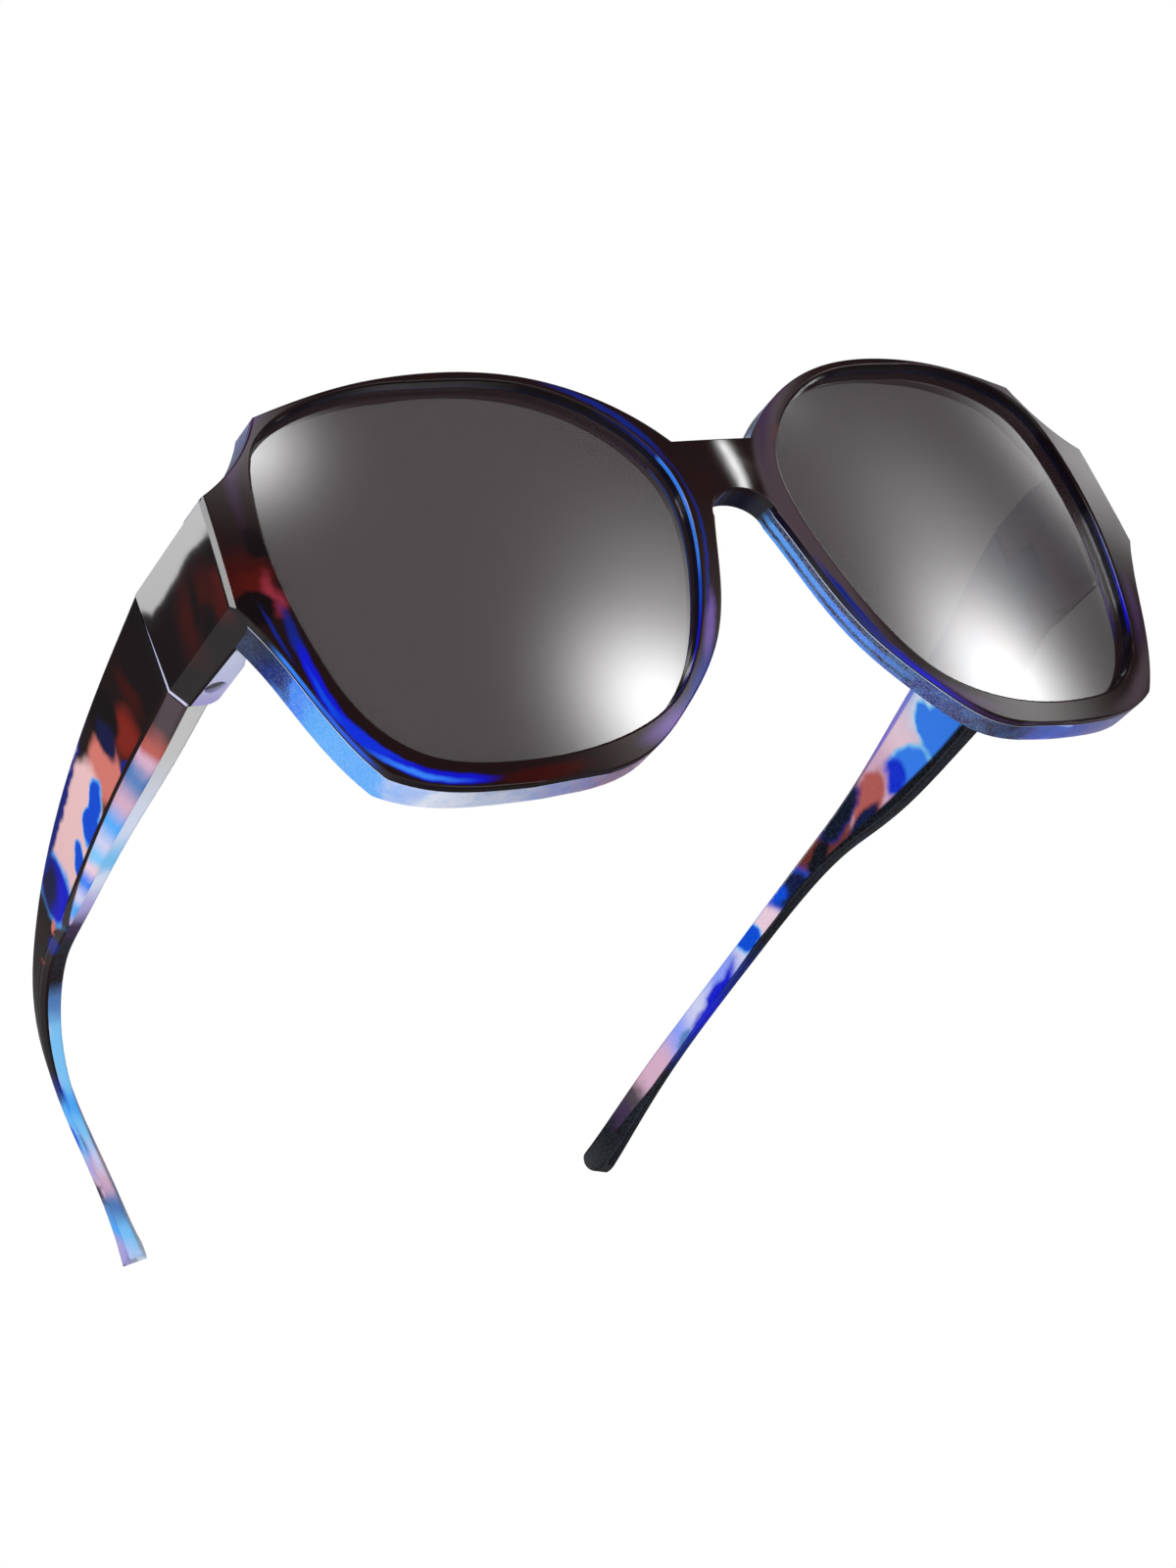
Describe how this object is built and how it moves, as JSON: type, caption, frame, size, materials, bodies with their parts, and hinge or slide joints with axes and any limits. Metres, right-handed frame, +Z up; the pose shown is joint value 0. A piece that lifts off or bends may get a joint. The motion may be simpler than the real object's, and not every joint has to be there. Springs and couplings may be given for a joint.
{
  "type": "fitover sunglasses",
  "caption": "Oversized sunglasses worn over prescription glasses: two-layer plastic front with large tinted lenses, deep rims and wide folding temples on screwed plastic hinges.",
  "frame": {"origin": "middle of the glasses as they stand open on a table, at table height", "axes": "+X towards the wearer's left, +Y back along the temples, +Z up"},
  "size_m": [0.1518, 0.1516, 0.0604],
  "materials": {
    "dark_layer": "polished, mottled dark brown with red, blue and violet",
    "clear_layer": "polished, tinted azure blue to pale lavender",
    "temple_dark_layer": "polished, tortoiseshell of dark brown, salmon pink and blue",
    "temple_clear_layer": "polished, pale blue with pink and navy blotches",
    "lens": "polished, neutral grey polarized tint",
    "screw": "bright slotted screw"
  },
  "bodies": {
    "front": {"front_outer_frame": "dark_layer", "front_inner_frame": "clear_layer", "lens_left": "lens", "lens_right": "lens", "hinge_screw_left": "screw", "hinge_screw_right": "screw"},
    "temple_left": {"temple_outer_left": "temple_dark_layer", "temple_inner_left": "temple_clear_layer"},
    "temple_right": {"temple_outer_right": "temple_dark_layer", "temple_inner_right": "temple_clear_layer"}
  },
  "joints": [
    {"name": "hinge_left", "type": "hinge", "parent": "front", "child": "temple_left", "pos_m": [0.0716, -0.05149, 0.03612], "axis": [0, -0.0437, 0.999], "range_deg": [0, 80]},
    {"name": "hinge_right", "type": "hinge", "parent": "front", "child": "temple_right", "pos_m": [-0.0716, -0.05149, 0.03612], "axis": [0, 0.0437, -0.999], "range_deg": [0, 76]}
  ]
}
